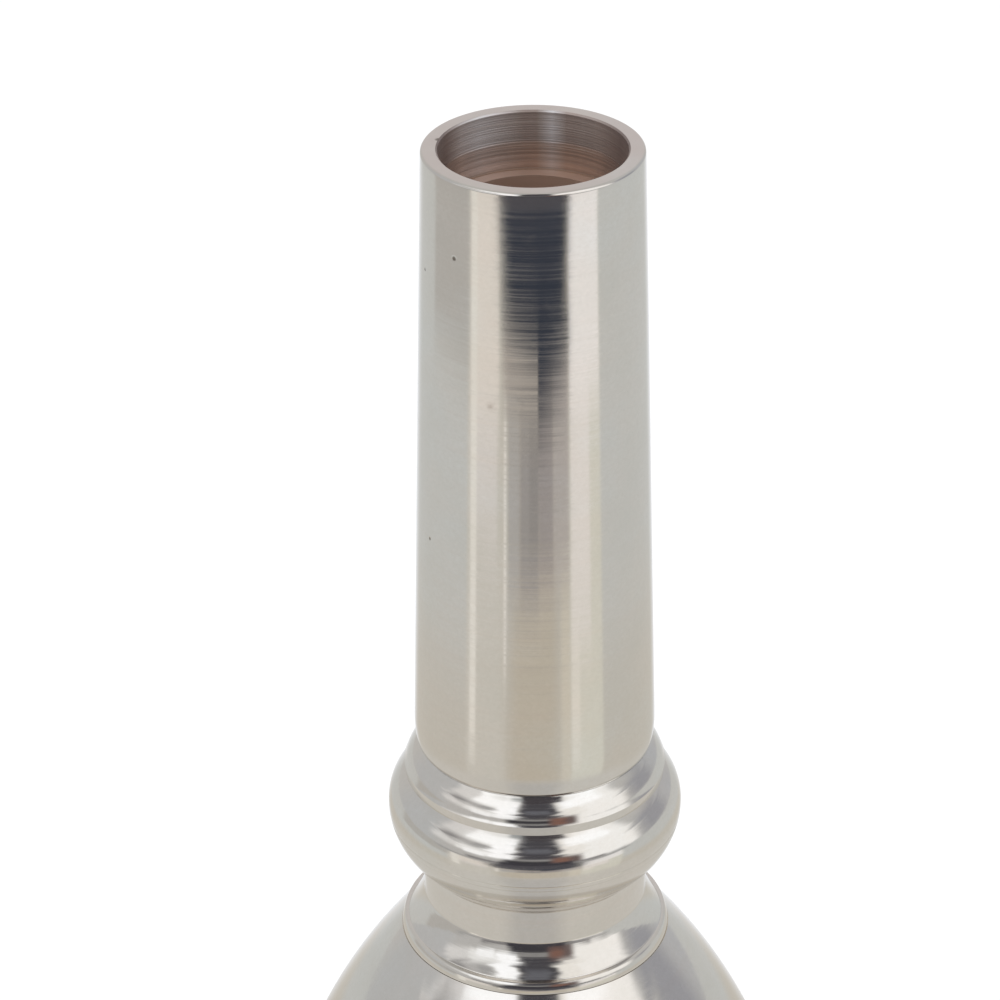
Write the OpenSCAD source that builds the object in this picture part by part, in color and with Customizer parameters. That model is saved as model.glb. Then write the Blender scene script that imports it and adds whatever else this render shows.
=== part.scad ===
// Screw-together low brass mouthpiece, standing on its rim with the shank up.
// The origin is on the axis, in the plane of the rim's crest. +Z runs towards the shank.

/* [Length] */
// Overall length, from the rim's crest to the shank's end
total_len = 94; // [93:0.5:97]

/* [Shank sleeve] */
// Outside diameter at the small end of the taper
shank_end_d = 13.1; // [12.8:0.1:13.4]
// Taper on the diameter, as one part in this many
taper_ratio = 20; // [18:1:24]
// Bore of the sleeve
sleeve_bore_d = 11; // [10.9:0.1:11.1]
// Diameter of the shallow counterbore at the sleeve's mouth
mouth_d = 11.1; // [11.1:0.05:11.3]
// Depth of the counterbore
mouth_depth = 2; // [1:0.1:2.5]

/* [Stem] */
// Diameter of the bead's flat band, just below the sleeve
band_d = 16.4; // [16:0.1:16.8]
// Diameter of the large bead
bead_d = 18.5; // [18:0.1:19]
// Diameter of the neck
neck_d = 14.2; // [13.8:0.1:14.6]
// Diameter of the collar's lip, where the stem seats on the cup
collar_d = 17.06; // [16.8:0.1:17.2]
// Throat diameter
throat_d = 8.2; // [7.6:0.1:8.6]
// Bore at the end of the stem's tube
backbore_d = 9; // [8.8:0.1:9.6]
// Depth of the tube's end below the sleeve's mouth
tube_recess = 3.7; // [3:0.1:5]

/* [Cup] */
// Inside diameter at the rim's bite
bowl_d = 32.4; // [31.8:0.1:32.6]
// Depth of the ellipse that the bowl follows
bowl_depth = 32.5; // [32:0.1:33]
// Radius of the cup's outside curve
cup_curve_r = 40; // [39:0.5:41]

/* [Rim] */
// Mean diameter of the rim's crest
crest_d = 38.6; // [38:0.1:39]
// Outside diameter of the rim
rim_d = 44.6; // [44:0.1:45]

/* [Threads] */
// Pitch of both threads
pitch = 1; // [1:0.1:1.1]
// Major diameter of the rim's thread
rim_thread_d = 33; // [32.9:0.1:33.2]
// Major diameter of the stem's thread
stem_thread_d = 12.6; // [12.4:0.1:12.8]

/* [Hidden] */
$fn = 96;

// Heights of the joints and features along the axis
rim_joint_z = 9.6;
rim_spigot_top = 14;
cup_widest_z = 14.5;
stem_joint_z = 40.2;
socket_floor_z = 34.2;
neck_low_z = 43.15;
neck_high_z = 45.3;
bead_z = 49.5;
band_low_z = 51.88;
band_high_z = 52.63;
sleeve_seat_z = 54.05;

// Clearances
seat_gap = 0.02;    // between two faces that seat on each other
slip = 0.03;        // radial, between the tube and the sleeve
thread_slack = 0.12; // radial, between a thread's crest and its groove's root
flank_slack = 0.1;  // along the axis, on each flank of a thread
ring_slack = 0.05;  // around an O-ring in its groove

// Threads: where each ridge starts, and straight steps to a turn
rim_thread_z = rim_joint_z + 0.75;
stem_thread_z = socket_floor_z + 1;
rim_steps = 48;
stem_steps = 32;
thread_h = 0.6;     // height of a thread's ridge over its core
root_w = 0.72;      // width of a ridge at its core
crest_w = 0.16;     // width of a ridge at its crest
tiny = 0.01;        // overlap of a cut past a face

shank_r = shank_end_d / 2;
tube_r = sleeve_bore_d / 2 - slip;
throat_r = throat_d / 2;
bowl_r = bowl_d / 2;
crest_r = crest_d / 2;
rim_r = rim_d / 2;
collar_r = collar_d / 2;
tube_top_z = total_len - tube_recess;

// Where the cup's outside curve has its centre, so that it meets the collar's lip
cup_top_r = collar_r + 0.04;
cup_curve_x = cup_top_r - sqrt(cup_curve_r ^ 2 - (stem_joint_z - cup_widest_z) ^ 2);
cup_widest_r = cup_curve_x + cup_curve_r;

// Below its widest part the cup flares out into the rim
cup_foot_curve_r = 14;
cup_foot_angle = asin((cup_widest_z - rim_joint_z) / cup_foot_curve_r);
cup_foot_r = cup_widest_r + cup_foot_curve_r * (1 - cos(cup_foot_angle));

// The bowl's ellipse turns into the throat on a rounded shoulder
bowl_turn = 70;
turn_slope = atan(bowl_r / bowl_depth * tan(bowl_turn));
turn_r = (bowl_r * cos(bowl_turn) - throat_r) / (1 - cos(turn_slope));
throat_z = bowl_depth * sin(bowl_turn) + turn_r * sin(turn_slope);

// O-rings: section radius and the radius of the ring's centre line
rim_ring_section = 0.45;
rim_ring_r = 17.75;
stem_ring_section = 0.35;
stem_ring_r = 7;

// Points on an arc about (x, z), from angle a to angle b, in steps
function arc(x, z, r, a, b, steps) = oval(x, z, r, r, a, b, steps);

// The same on an ellipse, with its two half-axes
function oval(x, z, rx, rz, a, b, steps) =
    [for (i = [0:steps]) let (t = a + (b - a) * i / steps) [x + rx * cos(t), z + rz * sin(t)]];

// An arc of radius r from point a to point b, bulging to the right of its path
function bulged(a, b, r, steps) =
    let (half = norm(b - a) / 2,
        along = (b - a) / (2 * half),
        centre = (a + b) / 2 + [-along.y, along.x] * sqrt(r ^ 2 - half ^ 2),
        start = atan2(a.y - centre.y, a.x - centre.x),
        end = atan2(b.y - centre.y, b.x - centre.x))
    arc(centre.x, centre.y, r, start, end, steps);

// The bowl's radius at a height above the rim
function bowl_r_at(z) = bowl_r * sqrt(1 - (z / bowl_depth) ^ 2);

// The bowl's wall, from one height to another
function bowl_wall(z0, z1, steps) =
    [for (i = [0:steps]) let (z = z0 + (z1 - z0) * i / steps) [bowl_r_at(z), z]];

// The bowl's wall by the angle on its ellipse, from a to b, without the first point
function bowl_arc(a, b, steps) =
    [for (i = [1:steps]) let (t = a + (b - a) * i / steps) [bowl_r * cos(t), bowl_depth * sin(t)]];

// The sleeve's outside radius at a height above the rim
function taper_r_at(z) = shank_r + (total_len - z) / taper_ratio / 2;

module lathe(points) {
    rotate_extrude() polygon(points);
}

// A right-handed helical ridge, from (inner_r, wide) to (outer_r, narrow), starting at height z
module helix(inner_r, outer_r, wide, narrow, z, turns, steps) {
    last = round(turns * steps);
    corners = [[inner_r, -wide / 2], [outer_r, -narrow / 2], [outer_r, narrow / 2], [inner_r, wide / 2]];
    points = [for (i = [0:last]) for (c = corners)
        let (a = 360 * i / steps) [c.x * cos(a), c.x * sin(a), z + c.y + pitch * i / steps]];
    sides = [for (i = [0:last - 1]) for (k = [0:3])
        let (here = 4 * i, next = 4 * i + 4, m = (k + 1) % 4)
            each [[here + k, here + m, next + m], [here + k, next + m, next + k]]];
    start = [[2, 1, 0], [3, 2, 0]];
    end = [for (f = [[0, 1, 2], [0, 2, 3]]) [for (v = f) v + 4 * last]];
    polyhedron(points = points, faces = concat(start, sides, end));
}

// The ridge of a male thread on a core
module male_thread(major_d, z, turns, steps) {
    core = major_d / 2 - thread_h;
    sunk = 0.08;
    slope = (root_w - crest_w) / thread_h;
    helix(core - sunk, major_d / 2, root_w + slope * sunk, crest_w, z, turns, steps);
}

// The groove of the female thread that takes it
module female_thread(major_d, z, turns, steps) {
    slope = (root_w - crest_w) / thread_h;
    mouth = major_d / 2 - thread_h;
    groove_r = major_d / 2 + thread_slack;
    narrow = crest_w - slope * thread_slack + 2 * flank_slack;
    helix(mouth, groove_r, root_w + 2 * flank_slack, narrow, z, turns, steps);
}

// Screw rim: rests on the lips, and its spigot screws up into the cup
module rim() {
    flat = 0.3;
    bite_z = 1.8;
    cove_end = 74;
    edge_r = 1.4;
    chamfer = 0.3;
    shoulder_z = rim_joint_z - seat_gap;

    // The cove under the rim is as large as the rim's diameter leaves room for
    cove_r = (rim_r - cup_foot_r - edge_r * (1 - cos(cove_end))) / (cos(cup_foot_angle) - cos(cove_end));
    cove_x = cup_foot_r + cove_r * cos(cup_foot_angle);
    cove_z = shoulder_z + cove_r * sin(cup_foot_angle);
    edge_z = cove_z - (cove_r + edge_r) * sin(cove_end);
    edge_x = cove_x - (cove_r + edge_r) * cos(cove_end);
    core = rim_thread_d / 2 - thread_h;
    color("gainsboro")
    union() {
        lathe(concat(
            [[crest_r - flat, 0]],
            oval(crest_r + flat, edge_z, rim_r - crest_r - flat, edge_z, 270, 360, 14),
            arc(edge_x, edge_z, edge_r, 0, cove_end, 6),
            arc(cove_x, cove_z, cove_r, 180 + cove_end, 180 + cup_foot_angle, 12),
            [[core, shoulder_z], [core, rim_spigot_top - chamfer], [core - chamfer, rim_spigot_top]],
            bowl_wall(rim_spigot_top, bite_z, 14),
            oval(crest_r - flat, bite_z, crest_r - flat - bowl_r_at(bite_z), bite_z, 180, 270, 10)
        ));
        male_thread(rim_thread_d, rim_thread_z, 3, rim_steps);
    }
}

// Rubber ring in the cup's foot, squeezed by the rim's shoulder
module rim_o_ring() {
    color("dimgray")
    rotate_extrude()
        translate([rim_ring_r, rim_joint_z + rim_ring_section + ring_slack]) circle(r = rim_ring_section);
}

// Cup: the bowl's upper part and the throat's start, threaded at both ends
module cup() {
    rim_bore = rim_thread_d / 2 - thread_h + thread_slack;
    stem_bore = stem_thread_d / 2 - thread_h + thread_slack;
    recess = 0.2;
    foot_arc = arc(cup_widest_r + cup_foot_curve_r, cup_widest_z, cup_foot_curve_r,
        180 + cup_foot_angle, 180, 8);
    shell = arc(cup_curve_x, cup_widest_z, cup_curve_r, 0,
        asin((stem_joint_z - cup_widest_z) / cup_curve_r), 24);
    shoulder = arc(throat_r + turn_r, throat_z, turn_r, 180, 180 + turn_slope, 10);
    color("silver")
    difference() {
        lathe(concat(
            foot_arc,
            [for (i = [1:24]) shell[i]],
            [[stem_bore, stem_joint_z], [stem_bore, socket_floor_z], [throat_r, socket_floor_z]],
            shoulder,
            bowl_arc(bowl_turn, asin((rim_spigot_top + recess) / bowl_depth), 18),
            [[rim_bore, rim_spigot_top + recess], [rim_bore, rim_joint_z]]
        ));
        female_thread(rim_thread_d, rim_thread_z - 2 * pitch, 5.25, rim_steps);
        female_thread(stem_thread_d, stem_thread_z, 6, stem_steps);
        o_ring_groove(rim_ring_r, rim_ring_section, rim_joint_z - tiny);
    }
}

// Square groove for an O-ring, open at its lower face
module o_ring_groove(ring_r, section, z) {
    half_w = section + ring_slack;
    rotate_extrude()
        translate([ring_r - half_w, z]) square([2 * half_w, 2 * half_w + tiny]);
}

// Rubber ring in the stem's shoulder, squeezed by the cup's end face
module stem_o_ring() {
    color("dimgray")
    rotate_extrude()
        translate([stem_ring_r, stem_joint_z + seat_gap + stem_ring_section + ring_slack])
            circle(r = stem_ring_section);
}

// Stem: threaded spigot, collar, neck, beads and the tube that holds the sleeve
module stem() {
    chamfer = 0.3;
    tube_chamfer = 0.15;
    lip_r = 1.5;
    lip_angle = 28;
    foot_cove_r = 0.4;
    flare_start = 17;
    flare_end = 36;
    flank_angle = 48;
    flank_r = 4.7;
    band_draft = 0.05;
    band_edge = 0.15;
    upper_bead_r = 2.6;
    crease = 0.12;
    seat_r = 7.2;
    throat_end_z = 46.4;

    seat_z = stem_joint_z + seat_gap;
    tip_z = socket_floor_z + 0.2;
    core = stem_thread_d / 2 - thread_h;
    neck_r = neck_d / 2;
    bead_r = bead_d / 2;
    band_r = band_d / 2;

    // The collar's flare, from the lip up to the small cove at the neck's foot
    lip_top = seat_z + lip_r * sin(lip_angle);
    foot_x = neck_r + foot_cove_r * (1 - cos(flare_start));
    foot_z = neck_low_z - foot_cove_r * sin(flare_start);
    flare_r = (foot_z - lip_top) / (sin(flare_end) - sin(flare_start));
    flare = arc(foot_x + flare_r * cos(flare_start), foot_z + flare_r * sin(flare_start),
        flare_r, 180 + flare_end, 180 + flare_start, 8);

    // The large bead: a fuller lower flank, and a tighter crown that ends at the band's foot
    flank = arc(bead_r - flank_r, bead_z, flank_r, -flank_angle, 0, 8);
    crown_angle = 2 * atan((bead_r - band_r + band_draft) / (band_low_z - bead_z));
    crown_r = (band_low_z - bead_z) / sin(crown_angle);
    crown = arc(bead_r - crown_r, bead_z, crown_r, 0, crown_angle, 8);
    neck_cove = arc(neck_r + foot_cove_r, neck_high_z, foot_cove_r, 180, 180 - flank_angle, 5);

    // The upper bead, from the band up to the crease under the sleeve
    upper_bead = bulged([band_r - band_edge / 2, band_high_z],
        [seat_r + crease, sleeve_seat_z - crease], upper_bead_r, 6);

    color("lightgray")
    difference() {
        union() {
            lathe(concat(
                [[throat_r, tip_z], [core - chamfer, tip_z], [core, tip_z + chamfer], [core, seat_z]],
                arc(collar_r - lip_r, seat_z, lip_r, 0, lip_angle, 5),
                flare,
                arc(neck_r + foot_cove_r, neck_low_z, foot_cove_r, 180 + flare_start, 180, 4),
                neck_cove,
                flank,
                crown,
                [[band_r, band_high_z - band_edge]],
                upper_bead,
                [[seat_r, sleeve_seat_z], [tube_r, sleeve_seat_z]],
                [[tube_r, tube_top_z - tube_chamfer], [tube_r - tube_chamfer, tube_top_z]],
                [[backbore_d / 2, tube_top_z], [throat_r, throat_end_z]]
            ));
            male_thread(stem_thread_d, stem_thread_z, 4, stem_steps);
        }
        o_ring_groove(stem_ring_r, stem_ring_section, seat_z - tiny);
    }
}

// Tapered shank sleeve: slips over the tube and rests on the upper bead
module shank_sleeve() {
    corner = 0.2;
    round_h = 2;
    round_w = 0.34;
    low_z = sleeve_seat_z + seat_gap;
    bore_r = sleeve_bore_d / 2;
    mouth_r = mouth_d / 2;
    mouth_z = total_len - mouth_depth;
    color("whitesmoke")
    lathe(concat(
        [[bore_r, low_z]],
        [for (i = [0:8]) let (t = 1 - i / 8, z = low_z + round_h * (1 - t))
            [taper_r_at(z) - round_w * (1 - sqrt(1 - t * t)), z]],
        arc(shank_r - corner, total_len - corner, corner, 0, 90, 5),
        [[mouth_r + 0.1, total_len], [mouth_r, total_len - 0.1], [mouth_r, mouth_z], [bore_r, mouth_z]]
    ));
}

rim();
rim_o_ring();
cup();
stem_o_ring();
stem();
shank_sleeve();
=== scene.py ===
"""Looks for a screw-together low brass mouthpiece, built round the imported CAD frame.

Each CAD node is replaced by one turned piece: an outline in millimetres, swept round the axis.
The metal mirrors a studio that only glossy rays see: a painted table card and a painted dome.
"""

import math
import random

import bpy
import numpy as np
from mathutils import Matrix, Vector


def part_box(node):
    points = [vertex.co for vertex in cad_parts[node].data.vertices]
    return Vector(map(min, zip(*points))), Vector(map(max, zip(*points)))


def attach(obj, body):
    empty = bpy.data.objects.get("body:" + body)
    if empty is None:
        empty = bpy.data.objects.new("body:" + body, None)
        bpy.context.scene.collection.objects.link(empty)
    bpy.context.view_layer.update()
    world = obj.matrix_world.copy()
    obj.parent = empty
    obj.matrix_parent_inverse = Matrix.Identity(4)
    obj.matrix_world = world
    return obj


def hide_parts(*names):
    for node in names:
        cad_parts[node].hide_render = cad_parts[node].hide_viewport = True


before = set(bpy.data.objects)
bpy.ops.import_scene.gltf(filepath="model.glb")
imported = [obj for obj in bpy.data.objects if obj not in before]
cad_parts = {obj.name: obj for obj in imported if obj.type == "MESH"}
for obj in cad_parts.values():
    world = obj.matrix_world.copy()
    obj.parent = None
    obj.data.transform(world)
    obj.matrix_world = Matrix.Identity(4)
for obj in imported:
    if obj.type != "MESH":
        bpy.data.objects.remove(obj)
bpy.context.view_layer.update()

MM = 0.001
AROUND = 192  # faces round the axis
STEP = 0.35  # longest face along an arc that isn't given a number of faces, mm
WIDEST_TURN = 4  # and the largest angle between two of its faces, degrees
SHARP = 28  # edges that turn by more than this are left sharp, degrees
PLATE, BORE, THREAD = 0, 1, 2  # finishes of one turned piece


def span(node):
    """Lowest height, highest height and radius of a CAD node, in mm."""
    low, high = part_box(node)
    return low.z / MM, high.z / MM, high.x / MM


RIM_LOW, SPIGOT_TOP, RIM_R = span("rim")
CUP_LOW, CUP_TOP, _ = span("cup")
STEM_LOW, STEM_TOP, STEM_R = span("stem")
SLEEVE_LOW, SLEEVE_TOP, _ = span("shank_sleeve")

SEAT_GAP = 0.02  # between two pieces that are screwed or slid home
THROAT_R = 4.1
SHANK_R = 6.55  # at the shank's end
TAPER = 20  # one part in this

# Both threads have the same section
PITCH = 1.0
THREAD_H = 0.6
THREAD_ROOT = 0.72
THREAD_CREST = 0.16
THREAD_SLACK = 0.12
FLANK_SLACK = 0.1
RIM_CORE_R = 15.9
STEM_CORE_R = 5.7
RIM_THREAD_Z = CUP_LOW + 0.75
STEM_THREAD_Z = CUP_TOP - 5.0

# The O-rings' grooves: inner radius, outer radius and depth, in the cup's foot and the stem's shoulder
RIM_GROOVE = (17.25, 18.25, 1.0)
STEM_GROOVE = (6.6, 7.4, 0.8)

BOWL_R = 16.2
BOWL_DEPTH = 32.5
CREST_R = 19.3
CUP_TOP_R = 8.57
CUP_WIDEST_Z = 14.5
CUP_CURVE_R = 40.0
CUP_CURVE_X = CUP_TOP_R - math.sqrt(CUP_CURVE_R**2 - (CUP_TOP - CUP_WIDEST_Z) ** 2)
CUP_WIDEST_R = CUP_CURVE_X + CUP_CURVE_R
FOOT_R = 14.0
FOOT_ANGLE = math.degrees(math.asin((CUP_WIDEST_Z - CUP_LOW) / FOOT_R))

# ---------------------------------------------------------------- outlines


def oval(x, z, rx, rz, start, end, faces):
    """Points on an ellipse, between two angles in degrees."""
    turn = np.radians(np.linspace(start, end, faces + 1))
    return [(x + rx * math.cos(t), z + rz * math.sin(t)) for t in turn]


def arc(x, z, r, start, end, faces=0):
    """Points on an arc, in so many faces, or in enough of them to mirror smoothly."""
    sweep = abs(end - start)
    faces = faces or max(4, math.ceil(sweep / WIDEST_TURN), math.ceil(r * math.radians(sweep) / STEP))
    return oval(x, z, r, r, start, end, faces)


def line(a, b, step):
    """Points on a straight line, no more than step apart."""
    faces = max(1, math.ceil(math.dist(a, b) / step))
    return [(a[0] + (b[0] - a[0]) * i / faces, a[1] + (b[1] - a[1]) * i / faces) for i in range(faces + 1)]


def bulged(a, b, r):
    """Points on an arc of radius r from a to b, bulging to the right of its path."""
    a, b = np.array(a), np.array(b)
    half = np.linalg.norm(b - a) / 2
    along = (b - a) / (2 * half)
    centre = (a + b) / 2 + np.array([-along[1], along[0]]) * math.sqrt(r * r - half * half)
    start, end = (math.degrees(math.atan2(*(p - centre)[::-1])) for p in (a, b))
    return arc(centre[0], centre[1], r, start, end)


def score(points, height, width, depth):
    """Cuts a fine V groove into an outline where it passes a height. The metal is on the left of its path."""
    for i, (a, b) in enumerate(zip(points, points[1:])):
        if (a[1] - height) * (b[1] - height) > 0 or a[1] == b[1]:
            continue
        t = (height - a[1]) / (b[1] - a[1])
        mid = np.array(a) + t * (np.array(b) - np.array(a))
        along = (np.array(b) - np.array(a)) / math.dist(a, b)
        into = np.array([-along[1], along[0]])
        cut = [(-0.5, 0), (-0.15, 0.7), (0, 1), (0.15, 0.7), (0.5, 0)]
        groove = [tuple(mid + along * width * s + into * depth * d) for s, d in cut]
        keep = [p for p in points[: i + 1] if math.dist(p, mid) > 0.55 * width]
        rest = [p for p in points[i + 1 :] if math.dist(p, mid) > 0.55 * width]
        return keep + groove + rest
    return points


def bowl_r_at(z):
    """Radius of the bowl at a height. The bowl is half an ellipsoid."""
    return BOWL_R * math.sqrt(1 - (z / BOWL_DEPTH) ** 2)


def shank_r_at(z):
    """Radius of the shank's taper at a height."""
    return SHANK_R + (SLEEVE_TOP - z) / (2 * TAPER)


def rim_outline():
    """Screw rim, from its crest up the outside, over the spigot and down the bowl."""
    flat, bite_z, cove_end, edge_r, chamfer = 0.3, 1.8, 74, 1.4, 0.3
    shoulder = CUP_LOW - SEAT_GAP
    foot = CUP_WIDEST_R + FOOT_R * (1 - math.cos(math.radians(FOOT_ANGLE)))
    cos_end, cos_foot = math.cos(math.radians(cove_end)), math.cos(math.radians(FOOT_ANGLE))
    cove_r = (RIM_R - foot - edge_r * (1 - cos_end)) / (cos_foot - cos_end)
    cove_x = foot + cove_r * cos_foot
    cove_z = shoulder + cove_r * math.sin(math.radians(FOOT_ANGLE))
    edge_z = cove_z - (cove_r + edge_r) * math.sin(math.radians(cove_end))
    edge_x = cove_x - (cove_r + edge_r) * cos_end
    outside = (
        [(CREST_R - flat, RIM_LOW)]
        + oval(CREST_R + flat, edge_z, RIM_R - CREST_R - flat, edge_z, 270, 360, 26)
        + arc(edge_x, edge_z, edge_r, 0, cove_end)[1:]
        + arc(cove_x, cove_z, cove_r, 180 + cove_end, 180 + FOOT_ANGLE)[1:]
    )
    spigot = [(RIM_CORE_R, shoulder), (RIM_CORE_R, SPIGOT_TOP - chamfer), (RIM_CORE_R - chamfer, SPIGOT_TOP)]
    heights = np.linspace(SPIGOT_TOP, bite_z, 30)
    bowl = [(bowl_r_at(z), z) for z in heights]
    bite = oval(CREST_R - flat, bite_z, CREST_R - flat - bowl_r_at(bite_z), bite_z, 180, 270, 18)[1:-1]
    return [(outside, PLATE), (spigot, THREAD), (bowl + bite, PLATE)]


def cup_outline():
    """Cup, from its foot up the outside, down the socket and the bowl, and back along the rim's bore."""
    turn = 70
    slope = math.degrees(math.atan(BOWL_R / BOWL_DEPTH * math.tan(math.radians(turn))))
    turn_r = (BOWL_R * math.cos(math.radians(turn)) - THROAT_R) / (1 - math.cos(math.radians(slope)))
    throat_z = BOWL_DEPTH * math.sin(math.radians(turn)) + turn_r * math.sin(math.radians(slope))
    shell_end = math.degrees(math.asin((CUP_TOP - CUP_WIDEST_Z) / CUP_CURVE_R))
    bore_r = STEM_CORE_R + THREAD_SLACK
    root_r = bore_r + THREAD_H
    rim_bore_r = RIM_CORE_R + THREAD_SLACK
    rim_root_r = rim_bore_r + THREAD_H
    recess_z = SPIGOT_TOP + 0.2
    socket_z = CUP_TOP - 6.0
    lead_in = 0.15
    outside = (
        arc(CUP_WIDEST_R + FOOT_R, CUP_WIDEST_Z, FOOT_R, 180 + FOOT_ANGLE, 180)
        + arc(CUP_CURVE_X, CUP_WIDEST_Z, CUP_CURVE_R, 0, shell_end, 60)[1:]
    )
    socket = [
        (root_r + lead_in, CUP_TOP),
        (root_r, CUP_TOP - lead_in),
        (root_r, socket_z + 1.0),
        (bore_r, socket_z + 0.7),
        (bore_r, socket_z),
        (THROAT_R, socket_z),
    ]
    last = math.degrees(math.asin(recess_z / BOWL_DEPTH))
    bowl = arc(THROAT_R + turn_r, throat_z, turn_r, 180, 180 + slope) + oval(
        0, 0, BOWL_R, BOWL_DEPTH, turn, last, 40
    )[1:]
    foot = [
        (rim_bore_r, recess_z),
        (rim_bore_r, recess_z - 0.3),
        (rim_root_r, recess_z - 0.6),
        (rim_root_r, CUP_LOW + lead_in),
        (rim_root_r + lead_in, CUP_LOW),
    ]
    inner, outer, depth = RIM_GROOVE
    groove = [(inner, CUP_LOW), (inner, CUP_LOW + depth), (outer, CUP_LOW + depth), (outer, CUP_LOW)]
    return [(outside, PLATE), (socket, THREAD), (bowl, PLATE), (foot + groove, THREAD)]


def stem_outline():
    """Stem, from its threaded tip up the outside, over the tube's end and down the backbore."""
    seat = CUP_TOP + SEAT_GAP
    chamfer, tube_chamfer, band_edge, crease = 0.3, 0.15, 0.15, 0.12
    collar_r, lip_r, lip_end, neck_r, cove_r = 8.53, 1.5, 28, 7.1, 0.4
    neck_low, neck_high, flare_start, flare_end = 43.15, 45.3, 17, 36
    bead_z, flank_r, flank_angle, upper_bead_r = 49.5, 4.7, 48, 2.6
    band_r, band_low, band_high, seat_r = 8.2, 51.88, 52.63, 7.2
    tube_r, tube_end_r, throat_z = 5.47, 4.5, 46.4
    band_step = 0.05  # how far the large bead ends inside the band
    inner, outer, depth = STEM_GROOVE
    sleeve_seat = SLEEVE_LOW - SEAT_GAP

    lip_top = seat + lip_r * math.sin(math.radians(lip_end))
    foot_x = neck_r + cove_r * (1 - math.cos(math.radians(flare_start)))
    foot_z = neck_low - cove_r * math.sin(math.radians(flare_start))
    flare_r = (foot_z - lip_top) / (
        math.sin(math.radians(flare_end)) - math.sin(math.radians(flare_start))
    )
    flare_x = foot_x + flare_r * math.cos(math.radians(flare_start))
    flare_z = foot_z + flare_r * math.sin(math.radians(flare_start))
    crown_end = math.degrees(2 * math.atan((STEM_R - band_r + band_step) / (band_low - bead_z)))
    crown_r = (band_low - bead_z) / math.sin(math.radians(crown_end))

    spigot = [
        (STEM_CORE_R - chamfer, STEM_LOW),
        (STEM_CORE_R, STEM_LOW + chamfer),
        (STEM_CORE_R, seat),
        (inner, seat),
        (inner, seat + depth),
        (outer, seat + depth),
        (outer, seat),
    ]
    body = (
        arc(collar_r - lip_r, seat, lip_r, 0, lip_end, 10)
        + arc(flare_x, flare_z, flare_r, 180 + flare_end, 180 + flare_start, 16)[1:]
        + arc(neck_r + cove_r, neck_low, cove_r, 180 + flare_start, 180, 8)[1:]
        + line((neck_r, neck_low), (neck_r, neck_high), 0.4)[1:]
        + arc(neck_r + cove_r, neck_high, cove_r, 180, 180 - flank_angle, 8)[1:]
        + arc(STEM_R - flank_r, bead_z, flank_r, -flank_angle, 0, 16)
        + arc(STEM_R - crown_r, bead_z, crown_r, 0, crown_end, 16)[1:]
    )
    for height, width, cut in [(48.36, 0.1, 0.012), (48.72, 0.12, 0.02), (41.02, 0.09, 0.02)]:
        body = score(body, height, width, cut)
    for height, cut in [(42.86, 0.0008), (42.55, 0.0012), (42.28, 0.0006), (41.98, 0.001), (41.75, 0.0006)]:
        body = score(body, height, 0.14, cut)
    band = [(band_r, band_high - band_edge)]
    bead = bulged((band_r - band_edge / 2, band_high), (seat_r + crease, sleeve_seat - crease), upper_bead_r)
    seat_face = [(seat_r, sleeve_seat), (tube_r + 0.4, sleeve_seat)]
    tube = [
        (tube_r, sleeve_seat),
        (tube_r, STEM_TOP - tube_chamfer),
        (tube_r - tube_chamfer, STEM_TOP),
    ]
    backbore = line((tube_end_r, STEM_TOP), (THROAT_R, throat_z), 4)
    throat = line((THROAT_R, throat_z), (THROAT_R, STEM_LOW), 4)[1:]
    outside = body + band + bead + seat_face
    return [(spigot, THREAD), (outside, PLATE), (tube, THREAD), (backbore + throat, BORE)]


def sleeve_outline():
    """Shank sleeve, from its lower edge up the taper, over the mouth and down the bore."""
    bore_r, mouth_r, mouth_depth, corner = 5.5, 5.55, 2.0, 0.2
    rounding_h, rounding_w, rounding_faces = 2, 0.34, 14

    rounding = []
    for i in range(rounding_faces + 1):
        t = 1 - i / rounding_faces
        z = SLEEVE_LOW + rounding_h * (1 - t)
        rounding.append((shank_r_at(z) - rounding_w * (1 - math.sqrt(1 - t * t)), z))
    side = line(rounding[-1], (shank_r_at(SLEEVE_TOP - corner), SLEEVE_TOP - corner), 1.0)[1:-1]
    end = arc(SHANK_R - corner, SLEEVE_TOP - corner, corner, 0, 90, 8)
    lip = [(mouth_r + 0.1, SLEEVE_TOP)]
    mouth = line((mouth_r, SLEEVE_TOP - 0.1), (mouth_r, SLEEVE_TOP - mouth_depth), 0.1)
    deep = line((bore_r, SLEEVE_TOP - mouth_depth), (bore_r, SLEEVE_LOW), 0.5)
    marks = random.Random(3)
    z = SLEEVE_TOP - 0.22
    while z > SLEEVE_TOP - mouth_depth + 0.1:
        mouth = score(mouth, z, 0.09, marks.uniform(0.003, 0.012))
        z -= marks.uniform(0.1, 0.2)
    z = SLEEVE_TOP - mouth_depth - 0.15
    while z > SLEEVE_TOP - 4:
        deep = score(deep, z, 0.12, marks.uniform(0.003, 0.014))
        z -= marks.uniform(0.14, 0.3)
    return [([(bore_r, SLEEVE_LOW)] + rounding + side + end + lip, PLATE), (mouth, BORE), (deep[:-1], BORE)]


def ring_outline(middle_r, middle_z, section):
    """O-ring with a faint moulding line round its outside."""
    points, faces = [], 40
    for i in range(faces):
        t = 2 * math.pi * i / faces
        flash = 0.015 if i == 0 else 0.0
        points.append((middle_r + (section + flash) * math.cos(t), middle_z + section * math.sin(t)))
    return [(points, PLATE)]


# ---------------------------------------------------------------- turned pieces


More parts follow.
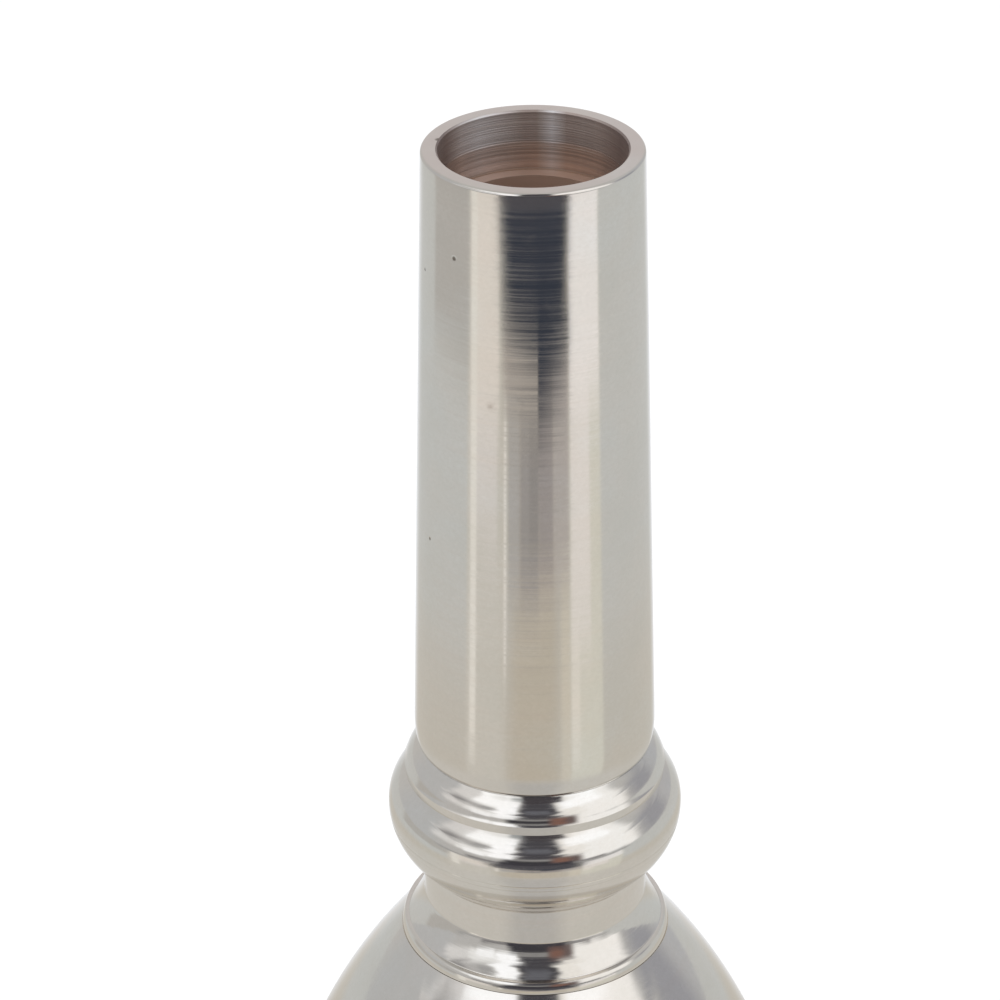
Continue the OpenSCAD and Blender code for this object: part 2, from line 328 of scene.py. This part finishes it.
def ridge(base_r, tip_r, base_w, tip_w, start_z, turns):
    """Vertices and faces of a right-handed helical ridge that fades out at both ends, in mm."""
    steps = round(turns * AROUND / 2)
    run_out, least = 16, 0.02  # steps over which an end fades, and the part of the height left there
    points, faces = [], []
    for i in range(steps + 1):
        angle = 4 * math.pi * i / AROUND
        fade = min(1.0, i / run_out, (steps - i) / run_out)
        tip = base_r + (tip_r - base_r) * (least + (1 - least) * fade)
        z = start_z + PITCH * angle / (2 * math.pi)
        for r, w in ((base_r, -base_w), (tip, -tip_w), (tip, tip_w), (base_r, base_w)):
            points.append((r * math.cos(angle), r * math.sin(angle), z + w / 2))
    order = (0, 1, 2, 3) if tip_r > base_r else (3, 2, 1, 0)
    for i in range(steps):
        for k in range(4):
            a, b = order[k], order[(k + 1) % 4]
            faces.append((4 * i + a, 4 * i + 4 + a, 4 * i + 4 + b, 4 * i + b))
    faces.append(tuple(order))
    faces.append(tuple(4 * steps + k for k in reversed(order)))
    return points, faces


def turned(name, outline, finishes, ridges=()):
    """One closed mesh: the outline swept round the axis, with its thread ridges."""
    points, kinds = [], []
    for run, kind in outline:
        for p in run:
            if not points or math.dist(p, points[-1]) > 1e-6:
                points.append(p)
                kinds.append(kind)
    if math.dist(points[0], points[-1]) < 1e-6:
        points.pop()
        kinds.pop()
    rows = len(points)
    angles = np.arange(AROUND) * 2 * math.pi / AROUND
    r = np.array([p[0] for p in points])[:, None]
    z = np.array([p[1] for p in points])[:, None]
    grid = np.stack([r * np.cos(angles), r * np.sin(angles), z + 0 * angles], -1).reshape(-1, 3)
    vertices = [tuple(v) for v in grid]
    faces, slots = [], []
    for i in range(rows):
        below, above = i * AROUND, (i + 1) % rows * AROUND
        for j in range(AROUND):
            k = (j + 1) % AROUND
            faces.append((below + j, below + k, above + k, above + j))
            slots.append(kinds[(i + 1) % rows])
    for more_points, more_faces in ridges:
        first = len(vertices)
        vertices += more_points
        faces += [tuple(first + v for v in f) for f in more_faces]
        slots += [THREAD] * len(more_faces)
    mesh = bpy.data.meshes.new(name)
    mesh.from_pydata([tuple(c * MM for c in v) for v in vertices], [], faces)
    mesh.validate()
    for finish in finishes:
        mesh.materials.append(finish)
    mesh.polygons.foreach_set("material_index", slots)
    mesh.polygons.foreach_set("use_smooth", [True] * len(faces))
    mesh.set_sharp_from_angle(angle=math.radians(SHARP))
    piece = bpy.data.objects.new(name, mesh)
    bpy.context.scene.collection.objects.link(piece)
    return piece


def male_ridge(core_r, start_z, turns):
    """The ridge of a male thread, its foot sunk a little way into the core."""
    slope = (THREAD_ROOT - THREAD_CREST) / THREAD_H
    sunk = 0.08
    return ridge(core_r - sunk, core_r + THREAD_H, THREAD_ROOT + slope * sunk, THREAD_CREST, start_z, turns)


def female_ridge(core_r, start_z, turns):
    """The metal that is left between the turns of a threaded groove."""
    inner = core_r + THREAD_SLACK
    slope = (THREAD_ROOT - THREAD_CREST) / THREAD_H
    mouth_w = PITCH - THREAD_ROOT - 2 * FLANK_SLACK
    sunk = 0.06
    root_w = mouth_w + slope * (THREAD_H + sunk)
    return ridge(inner + THREAD_H + sunk, inner, root_w, mouth_w, start_z + PITCH / 2, turns)


# ---------------------------------------------------------------- finishes


class Nodes:
    """Short spellings for building one node material."""

    def __init__(self, name):
        self.material = bpy.data.materials.new(name)
        self.material.use_nodes = True
        self.tree = self.material.node_tree
        self.shader = self.tree.nodes["Principled BSDF"]
        self.place = self.add("ShaderNodeTexCoord").outputs["Object"]

    def add(self, kind, **settings):
        node = self.tree.nodes.new(kind)
        for key, value in settings.items():
            setattr(node, key, value)
        return node

    def put(self, socket, value):
        if isinstance(value, bpy.types.NodeSocket):
            self.tree.links.new(value, socket)
        else:
            socket.default_value = value

    def noise(self, across, along, detail=2.0, roughness=0.5, shift=0.0):
        """Noise with so many cells to the metre across the axis, and along it."""
        mapping = self.add("ShaderNodeMapping")
        self.put(mapping.inputs["Vector"], self.place)
        mapping.inputs["Scale"].default_value = (across, across, along)
        mapping.inputs["Location"].default_value = (shift, shift, shift)
        node = self.add("ShaderNodeTexNoise")
        self.put(node.inputs["Vector"], mapping.outputs[0])
        node.inputs["Scale"].default_value = 1.0
        node.inputs["Detail"].default_value = detail
        node.inputs["Roughness"].default_value = roughness
        return node.outputs[0]

    def math(self, operation, a, b=0.0):
        node = self.add("ShaderNodeMath", operation=operation)
        self.put(node.inputs[0], a)
        self.put(node.inputs[1], b)
        return node.outputs[0]

    def spread(self, value, low, high, to_low, to_high):
        """value's range low..high drawn out to to_low..to_high, and held there."""
        node = self.add("ShaderNodeMapRange")
        for socket, v in zip(node.inputs, (value, low, high, to_low, to_high)):
            self.put(socket, v)
        return node.outputs[0]

    def mix(self, amount, a, b):
        node = self.add("ShaderNodeMix", data_type="RGBA")
        self.put(node.inputs[0], amount)
        self.put(node.inputs[6], a)
        self.put(node.inputs[7], b)
        return node.outputs[2]

    def near(self, point, reach):
        """1 at a point of the object, in mm, falling to 0 at reach mm from it."""
        node = self.add("ShaderNodeVectorMath", operation="DISTANCE")
        self.put(node.inputs[0], self.place)
        node.inputs[1].default_value = Vector(point) * MM
        return self.spread(node.outputs["Value"], 0.0, reach * MM, 1.0, 0.0)

    def beside(self, point, reach):
        """1 on a line that runs along the axis past (x, y), falling to 0 at reach mm from it."""
        mapping = self.add("ShaderNodeMapping")
        self.put(mapping.inputs["Vector"], self.place)
        mapping.inputs["Scale"].default_value = (1, 1, 0)
        node = self.add("ShaderNodeVectorMath", operation="DISTANCE")
        self.put(node.inputs[0], mapping.outputs[0])
        node.inputs[1].default_value = Vector((*point, 0)) * MM
        return self.spread(node.outputs["Value"], 0.0, reach * MM, 1.0, 0.0)

    def height(self):
        """Height up the axis, in metres."""
        node = self.add("ShaderNodeSeparateXYZ")
        self.put(node.inputs[0], self.place)
        return node.outputs["Z"]

    def bump(self, height, distance):
        node = self.add("ShaderNodeBump")
        self.put(node.inputs["Height"], height)
        node.inputs["Strength"].default_value = 1.0
        node.inputs["Distance"].default_value = distance
        self.put(self.shader.inputs["Normal"], node.outputs[0])


def on_shank(z, degrees):
    """A point on the shank's outside, at a height and an angle from the front towards the right."""
    r = shank_r_at(z)
    a = math.radians(degrees)
    return (r * math.sin(a), -r * math.cos(a), z)


def silver_plate():
    """Polished silver plate: turning marks, warm and cool tarnish, a few pits, a smudge, and painted shade
    over the shank's end face.
    """
    n = Nodes("silver_plate")
    tint = n.spread(n.noise(55, 40, 3, 0.6), 0.35, 0.7, 0.0, 1.0)
    colour = n.mix(tint, (0.815, 0.795, 0.77, 1), (0.80, 0.755, 0.70, 1))
    ring_tint = n.spread(n.noise(25, 1800, 2, 0.6, 3.0), 0.45, 0.75, 0.0, 0.5)
    colour = n.mix(ring_tint, colour, (0.80, 0.74, 0.69, 1))
    # Painted shade: the plate is darker and pinker over the shank's end face and its rounded top edge.
    end_face_shade = n.spread(n.height(), (SLEEVE_TOP - 0.4) * MM, (SLEEVE_TOP - 0.02) * MM, 0.0, 0.75)
    colour = n.mix(end_face_shade, colour, (0.70, 0.64, 0.61, 1))
    mottle = n.spread(n.noise(260, 200, 4, 0.65, 11.0), 0.42, 0.72, 0.0, 1.0)
    colour = n.mix(mottle, colour, (0.765, 0.74, 0.695, 1))
    cool = n.spread(n.noise(120, 150, 3, 0.6, 17.0), 0.5, 0.75, 0.0, 0.8)
    colour = n.mix(cool, colour, (0.795, 0.80, 0.785, 1))
    grain = n.spread(n.noise(3200, 4200, 3, 0.7, 29.0), 0.3, 0.7, 0.0, 1.0)
    colour = n.mix(n.math("MULTIPLY", grain, 0.5), colour, (0.73, 0.70, 0.655, 1))
    pits = n.math("MAXIMUM", n.near(on_shank(89.26, -43.4), 0.22), n.near((-5.45, 1.3, SLEEVE_TOP), 0.35))
    for z, degrees, reach in [(87.4, -69.8, 0.16), (70.12, -61.4, 0.16)]:
        pits = n.math("MAXIMUM", pits, n.near(on_shank(z, degrees), reach))
    colour = n.mix(n.spread(pits, 0.2, 0.6, 0.0, 1.0), colour, (0.25, 0.22, 0.19, 1))
    smudge = n.math("MULTIPLY", n.near(on_shank(80.53, -21.6), 0.5), n.noise(4000, 4000, 2))
    colour = n.mix(n.spread(smudge, 0.1, 0.6, 0.0, 0.5), colour, (0.42, 0.37, 0.33, 1))
    n.put(n.shader.inputs["Base Color"], colour)
    n.shader.inputs["Metallic"].default_value = 1.0
    worn = n.spread(n.noise(40, 2500, 2, 0.6, 7.0), 0.3, 0.75, 0.05, 0.12)
    worn = n.math("ADD", worn, n.spread(n.noise(300, 300, 4, 0.7, 23.0), 0.55, 0.75, 0.0, 0.06))
    brushing_and_ragged_light = n.spread(n.noise(40, 7500, 3, 0.7, 41.0), 0.46, 0.66, 0.0, 0.07)
    n.put(n.shader.inputs["Roughness"], n.math("ADD", worn, brushing_and_ragged_light))
    broad = n.math("MULTIPLY", n.noise(30, 900, 2, 0.5, 1.0), 2.2)
    fine = n.math("MULTIPLY", n.noise(60, 5000, 1, 0.5, 5.0), 0.5)
    height = n.math("SUBTRACT", n.math("ADD", broad, fine), n.math("MULTIPLY", pits, 20.0))
    n.bump(height, 1.6e-6)
    return n.material


def bore_metal():
    """The same plate inside the bore, where it is thin, browned and scored by the reamer, with painted
    highlight streaks up its back wall and painted shade down its sides.
    """
    n = Nodes("bore_metal")
    stain = n.spread(n.noise(120, 60, 3, 0.6, 2.0), 0.3, 0.7, 0.0, 1.0)
    colour = n.mix(stain, (0.52, 0.46, 0.44, 1), (0.44, 0.36, 0.33, 1))
    z = n.height()
    deep = n.spread(z, (SLEEVE_TOP - 1.9) * MM, (SLEEVE_TOP - 2.1) * MM, 0.0, 1.0)
    colour = n.mix(deep, colour, n.mix(stain, (0.60, 0.42, 0.34, 1), (0.52, 0.36, 0.28, 1)))
    streak = n.spread(n.noise(420, 60, 3, 0.7, 5.0), 0.35, 0.65, 0.0, 0.35)
    colour = n.mix(streak, colour, (0.34, 0.26, 0.22, 1))
    # Painted highlights: two pale streaks up the bore's back wall, stronger in the mouth than further down.
    painted_highlight = n.math("MAXIMUM", n.beside((1.17, 5.43), 0.9), n.beside((-3.1, 4.5), 2.9))
    painted_highlight = n.math("MULTIPLY", painted_highlight, n.spread(deep, 0.0, 1.0, 0.9, 0.4))
    colour = n.mix(painted_highlight, colour, (0.86, 0.86, 0.89, 1))
    scored = n.spread(n.noise(30, 7000, 3, 0.7, 9.0), 0.4, 0.62, 0.0, 0.5)
    colour = n.mix(scored, colour, (0.26, 0.21, 0.19, 1))
    bright = n.spread(n.noise(60, 5200, 3, 0.7, 17.0), 0.6, 0.72, 0.0, 0.6)
    colour = n.mix(bright, colour, (0.78, 0.70, 0.66, 1))
    inner = n.spread(z, (STEM_TOP + 0.1) * MM, (STEM_TOP - 0.1) * MM, 0.0, 1.0)
    colour = n.mix(inner, colour, (0.62, 0.44, 0.35, 1))
    shade = n.math("MAXIMUM", n.beside((5.5, 1.4), 3.2), n.beside((-5.5, 1.4), 2.6))
    colour = n.mix(n.spread(shade, 0.0, 0.7, 0.0, 0.8), colour, (0.20, 0.155, 0.145, 1))
    n.put(n.shader.inputs["Base Color"], colour)
    n.shader.inputs["Metallic"].default_value = 0.6
    n.put(n.shader.inputs["Roughness"], n.spread(n.noise(60, 6000, 2, 0.6), 0.3, 0.7, 0.3, 0.48))
    n.bump(n.noise(50, 5000, 2, 0.6, 4.0), 9e-6)
    return n.material


def thread_metal():
    """Plate on the threads, duller, with brass showing through where it has worn."""
    n = Nodes("thread_metal")
    worn = n.spread(n.noise(300, 900, 3, 0.6, 2.0), 0.48, 0.72, 0.0, 0.8)
    n.put(n.shader.inputs["Base Color"], n.mix(worn, (0.73, 0.69, 0.62, 1), (0.65, 0.53, 0.36, 1)))
    n.shader.inputs["Metallic"].default_value = 1.0
    n.put(n.shader.inputs["Roughness"], n.spread(n.noise(300, 2000, 2), 0.3, 0.7, 0.16, 0.32))
    n.bump(n.noise(80, 6000, 2, 0.6, 4.0), 6e-6)
    return n.material


def black_rubber():
    """Matt rubber with a faint bloom."""
    n = Nodes("black_rubber")
    bloom = n.spread(n.noise(900, 900, 3, 0.6), 0.4, 0.75, 0.0, 1.0)
    n.put(n.shader.inputs["Base Color"], n.mix(bloom, (0.014, 0.014, 0.015, 1), (0.045, 0.044, 0.043, 1)))
    n.put(n.shader.inputs["Roughness"], n.spread(bloom, 0.0, 1.0, 0.45, 0.7))
    n.bump(n.noise(2500, 2500, 2), 1.5e-5)
    return n.material


METAL = [silver_plate(), bore_metal(), thread_metal()]  # in the order of PLATE, BORE, THREAD
RUBBER = [black_rubber()]

# ---------------------------------------------------------------- the object

rim_ridges = [male_ridge(RIM_CORE_R, RIM_THREAD_Z, 3)]
cup_ridges = [
    female_ridge(RIM_CORE_R, RIM_THREAD_Z - PITCH, 3.6),
    female_ridge(STEM_CORE_R, STEM_THREAD_Z - PITCH, 5.2),
]
stem_ridges = [male_ridge(STEM_CORE_R, STEM_THREAD_Z, 4)]


def ring_in(groove, mouth_z, section):
    """O-ring in the middle of a groove whose mouth is at a height and faces down."""
    inner, outer, depth = groove
    return ring_outline((inner + outer) / 2, mouth_z + depth / 2, section)


rim_ring = ring_in(RIM_GROOVE, CUP_LOW, 0.45)
stem_ring = ring_in(STEM_GROOVE, CUP_TOP + SEAT_GAP, 0.35)

for node, body, outline, finishes, ridges, slot in [
    ("rim", "rim", rim_outline(), METAL, rim_ridges, "silver_plate"),
    ("cup", "cup", cup_outline(), METAL, cup_ridges, "silver_plate"),
    ("stem", "stem", stem_outline(), METAL, stem_ridges, "silver_plate"),
    ("shank_sleeve", "shank_sleeve", sleeve_outline(), METAL, (), "silver_plate"),
    ("rim_o_ring", "rim_ring", rim_ring, RUBBER, (), "black_rubber"),
    ("stem_o_ring", "stem_ring", stem_ring, RUBBER, (), "black_rubber"),
]:
    piece = turned("turned_" + node, outline, finishes, ridges)
    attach(piece, body)
    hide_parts(node)

# ---------------------------------------------------------------- the studio


PLATE_COLOUR = (0.80, 0.775, 0.73)  # roughly what silver_plate comes to


def lit(rgb):
    """A colour as it should look mirrored in the plate, turned into the light that it takes."""
    srgb = np.array(rgb, float) / 255
    linear = np.where(srgb <= 0.04045, srgb / 12.92, ((srgb + 0.055) / 1.055) ** 2.4)
    return linear / np.array(PLATE_COLOUR)


def edge(x, at, soft):
    """0 below a place and 1 above it, over a soft width."""
    t = np.clip((x - at) / soft + 0.5, 0, 1)
    return t * t * (3 - 2 * t)


def paint(base, u, v, patches):
    """Lays soft-edged patches over a base colour.

    A patch is u from, to and softness, then v from, to and softness, then its colour.
    """
    colour = np.ones(u.shape + (3,)) * lit(base)
    for u0, u1, su, v0, v1, sv, rgb in patches:
        amount = edge(u, u0, su) * edge(-u, -u1, su) * edge(v, v0, sv) * edge(-v, -v1, sv)
        colour += amount[..., None] * (lit(rgb) - colour)
    return colour


FAR = 999  # past every azimuth and distance
TABLE_END = 700  # the table card's radius, mm
DOME_R = 3.0  # metres
# The table: azimuth from the front in degrees, then distance from the axis in mm
TABLE = [
    (-FAR, FAR, 1, 0, 120, 50, (187, 181, 169)),
    (-67, -27, 4, 0, FAR, 20, (193, 188, 177)),
    (-64, -36, 3, 148, FAR, 16, (204, 198, 190)),
    (-64, -34, 3, 178, FAR, 14, (214, 206, 195)),
    (-63.5, -57, 2, 104, FAR, 12, (218, 213, 202)),
    (-115, -66, 6, 190, FAR, 20, (172, 168, 161)),
    (-25, 24, 24, 0, FAR, 20, (182, 173, 157)),
    (24, 33.5, 5, 0, FAR, 20, (197, 189, 173)),
    (33.5, 66, 3, 0, FAR, 20, (202, 198, 184)),
    (34, 42, 3, 104, 150, 12, (214, 208, 195)),
    (34.5, 54, 3, 128, FAR, 14, (216, 209, 200)),
    (33.5, 65.5, 3, 182, FAR, 20, (227, 222, 216)),
    (-FAR, FAR, 1, 0, 78, 16, (191, 186, 176)),
    (-25, 24, 24, 0, 78, 16, (175, 171, 164)),
    (-29, -27, 1.5, 122, 208, 8, (222, 216, 206)),
    (-25, -14, 2, 138, 182, 8, (167, 163, 157)),
    (-14, 4, 4, 138, 182, 8, (149, 144, 139)),
    (-5, 4, 3, 150, 182, 12, (139, 134, 129)),
    (4, 18, 3, 142, 190, 10, (151, 144, 139)),
    (18, 33, 4, 142, 200, 16, (170, 163, 156)),
    (-30, 4, 6, 183, 210, 6, (167, 159, 149)),
]
# The dome: azimuth from the front, then elevation, both in degrees
DOME = [
    (-130, -78, 24, -10, 50, 12, (177, 176, 173)),
    (88, 122, 24, -6, 30, 18, (150, 149, 151)),
    (122, 146, 24, -8, 34, 18, (172, 171, 170)),
    (-85, -60, 8, 8, 60, 6, (210, 207, 202)),
    (-62, -19, 4, 8, 66, 4, (230, 228, 223)),
    (-82, -37, 9, 20, 31, 8, (172, 169, 165)),
    (-76, -64, 9, 19, 27, 7, (138, 135, 133)),
    (-52, -40, 5, 22, 30, 5, (158, 156, 153)),
    (-55, -38, 3, 6, 15, 3, (246, 245, 242)),
    (-36, -17, 4, 9, 56, 5, (254, 253, 251)),
    (32, 82, 12, -3, 66, 5, (240, 236, 229)),
    (15, 40, 4, 16, 72, 4, (232, 227, 218)),
    (-62, -26, 8, 35, 54, 5, (254, 253, 250)),
    (26, 68, 8, 35, 54, 5, (254, 252, 248)),
    (-30, -12, 5, 57, 86, 3, (150, 152, 150)),
    (-15, 20, 7, 11, 70, 6, (70, 68, 71)),
    (-10, 12, 6, 25, 35, 6, (98, 98, 102)),
    (-15, 33, 7, 54, 86, 4, (66, 62, 64)),
    (-24, 18, 9, -3, 9, 7, (56, 54, 57)),
    (12, 34, 8, -3, 14, 7, (102, 88, 84)),
    (13, 25, 9, 2, 13, 8, (124, 92, 80)),
    (-78, -27, 8, -9, 6, 5, (178, 175, 170)),
    (27, 70, 8, -9, -1, 5, (172, 169, 164)),
    (-52, 52, 6, -3, 1, 2, (122, 119, 117)),
    (-27, 27, 5, -20, 3, 4, (60, 58, 62)),
]


def teeth(place, steps, size):
    """A ragged outline, in degrees of azimuth, along a run of steps."""
    draw = random.Random(11)
    return np.interp(place, steps, [size * draw.uniform(-1, 1) * draw.random() for _ in steps])


def behind(azimuth):
    """How far a direction lies towards the back, where the paper sweep is bright."""
    return edge(np.abs(azimuth), 158, 30)


def table_colour(azimuth, distance):
    """The table's patches, with a ragged dark sector in front, grey beside its far end, bright behind."""
    colour = paint((187, 186, 180), azimuth, distance, TABLE)
    split = 3.5  # azimuth where the dark sector's near edge changes
    left = azimuth < split
    front = np.where(left, 197 - 0.3 * np.minimum(azimuth, 0), 179 + 0.6 * (azimuth - split))
    dark = edge(distance, front, np.where(left, 6, 26))
    steps = np.arange(180, TABLE_END, 1.8)
    dark *= edge(azimuth, -33 + teeth(distance, steps, 13), 8)
    dark *= edge(-azimuth, -34 + teeth(distance, steps, 9), 7)
    near_gloom, far_gloom = lit((50, 54, 63)), lit((76, 74, 77))
    gloom = near_gloom + edge(distance, 250, 30)[..., None] * (far_gloom - near_gloom)
    colour += dark[..., None] * (gloom - colour)
    wings = edge(distance, 380, 120) * edge(azimuth, -78, 10) * edge(-azimuth, -72, 10) * (1 - dark)
    colour += wings[..., None] * (lit((158, 156, 152)) - colour)
    colour += behind(azimuth)[..., None] * (lit((226, 225, 223)) - colour)
    return colour


def dome_colour(azimuth, elevation):
    """The dome with its patches, paler behind and overhead, and ragged between 12 and 33 degrees up."""
    # Ragged edges are painted into the dome's light between 12 and 33 degrees up, so the plate shows streaky
    # reflection edges.
    brushing_and_ragged_light = teeth(elevation, np.arange(10, 36, 1.4), 9) * edge(elevation, 12, 4) * edge(-elevation, -33, 4)
    azimuth = azimuth + brushing_and_ragged_light
    colour = paint((182, 179, 173), azimuth, elevation, DOME)
    colour += (behind(azimuth) * edge(-elevation, -40, 40))[..., None] * (lit((193, 186, 181)) - colour)
    colour += edge(elevation, 87, 4)[..., None] * (lit((214, 212, 208)) - colour)
    return colour


def card(name, vertices, colour, rows, columns):
    """A glowing sheet of rows by columns that only glossy rays see."""
    faces = []
    for i in range(rows - 1):
        below, above = i * columns, (i + 1) * columns
        for j in range(columns):
            k = (j + 1) % columns
            faces.append((below + j, below + k, above + k, above + j))
    mesh = bpy.data.meshes.new(name)
    mesh.from_pydata([tuple(v) for v in vertices.reshape(-1, 3)], [], faces)
    glow = mesh.color_attributes.new("glow", "FLOAT_COLOR", "POINT")
    rgba = np.concatenate([colour.reshape(-1, 3), np.ones((rows * columns, 1))], 1)
    glow.data.foreach_set("color", rgba.astype(np.float32).ravel())
    material = bpy.data.materials.new(name)
    material.use_nodes = True
    tree = material.node_tree
    tree.nodes.clear()
    out = tree.nodes.new("ShaderNodeOutputMaterial")
    emission = tree.nodes.new("ShaderNodeEmission")
    attribute = tree.nodes.new("ShaderNodeAttribute")
    attribute.attribute_name = "glow"
    tree.links.new(attribute.outputs["Color"], emission.inputs["Color"])
    tree.links.new(emission.outputs[0], out.inputs["Surface"])
    material.cycles.emission_sampling = "NONE"
    mesh.materials.append(material)
    sheet = bpy.data.objects.new(name, mesh)
    bpy.context.scene.collection.objects.link(sheet)
    sheet.visible_camera = False
    sheet.visible_diffuse = False
    sheet.visible_transmission = False
    sheet.visible_volume_scatter = False
    sheet.visible_shadow = False
    return sheet


# Azimuths round the axis: 0 towards the camera, growing to its right
COLUMNS = 360
compass = np.linspace(-180, 180, COLUMNS, endpoint=False)

# Rows are closest together where the ragged outlines begin
rings = np.r_[
    0.5,
    np.arange(3, 180, 3),
    np.arange(180, 262, 0.55),
    np.arange(262, 330, 3),
    np.arange(330, TABLE_END, 12),
]
azimuth, distance = np.meshgrid(compass, rings)
turn = np.radians(azimuth)
where = np.stack([distance * np.sin(turn), -distance * np.cos(turn), 0 * turn], -1) * MM
card("studio_table_card", where, table_colour(azimuth, distance), len(distance), COLUMNS)

rows = np.r_[np.arange(-89.5, 10, 1), np.arange(10, 40, 0.5), np.arange(40, 90, 1)]
azimuth, elevation = np.meshgrid(compass, rows)
turn, rise = np.radians(azimuth), np.radians(elevation)
where = DOME_R * np.stack([np.sin(turn) * np.cos(rise), -np.cos(turn) * np.cos(rise), np.sin(rise)], -1)
card("studio_dome", where, dome_colour(azimuth, elevation), len(elevation), COLUMNS)


def floor():
    """A pale matt floor that the camera sees. The metal sees the table card in its place."""
    half = 2.5
    corners = [(-half, -half, 0), (half, -half, 0), (half, half, 0), (-half, half, 0)]
    mesh = bpy.data.meshes.new("floor")
    mesh.from_pydata(corners, [], [(0, 1, 2, 3)])
    material = bpy.data.materials.new("floor")
    material.use_nodes = True
    shader = material.node_tree.nodes["Principled BSDF"]
    shader.inputs["Base Color"].default_value = (0.93, 0.93, 0.93, 1)
    shader.inputs["Roughness"].default_value = 0.9
    shader.inputs["Specular IOR Level"].default_value = 0.0
    mesh.materials.append(material)
    ground = bpy.data.objects.new("floor", mesh)
    bpy.context.scene.collection.objects.link(ground)
    ground.visible_glossy = False


floor()

world = bpy.data.worlds.new("studio")
world.use_nodes = True
sky = world.node_tree.nodes["Background"]
sky.inputs["Color"].default_value = (1, 1, 1, 1)
sky.inputs["Strength"].default_value = 0.85
bpy.context.scene.world = world

for name, spot, size, watts in [
    ("key_light", (-0.5, -0.4, 0.9), 0.7, 4.0),
    ("fill_light", (0.7, -0.3, 0.7), 0.8, 2.0),
]:
    light = bpy.data.lights.new(name, "AREA")
    light.size = size
    light.energy = watts
    lamp = bpy.data.objects.new(name, light)
    lamp.location = spot
    lamp.rotation_euler = (-Vector(spot)).to_track_quat("-Z", "Y").to_euler()
    lamp.visible_glossy = False
    bpy.context.scene.collection.objects.link(lamp)

# ---------------------------------------------------------------- camera

EYE = (-2.06, -203.0, 181.94)  # mm
LENS = 137.4
PITCH_UP, ROLL = 61.31, -0.437  # degrees

camera = bpy.data.cameras.new("camera")
camera.lens = LENS
camera.sensor_width = 36.0
camera.clip_start = 0.01
eye = bpy.data.objects.new("camera", camera)
bpy.context.scene.collection.objects.link(eye)
eye.matrix_world = (
    Matrix.Translation(Vector(EYE) * MM)
    @ Matrix.Rotation(math.radians(PITCH_UP), 4, "X")
    @ Matrix.Rotation(math.radians(ROLL), 4, "Z")
)
bpy.context.scene.camera = eye
bpy.context.scene.view_settings.view_transform = "Standard"
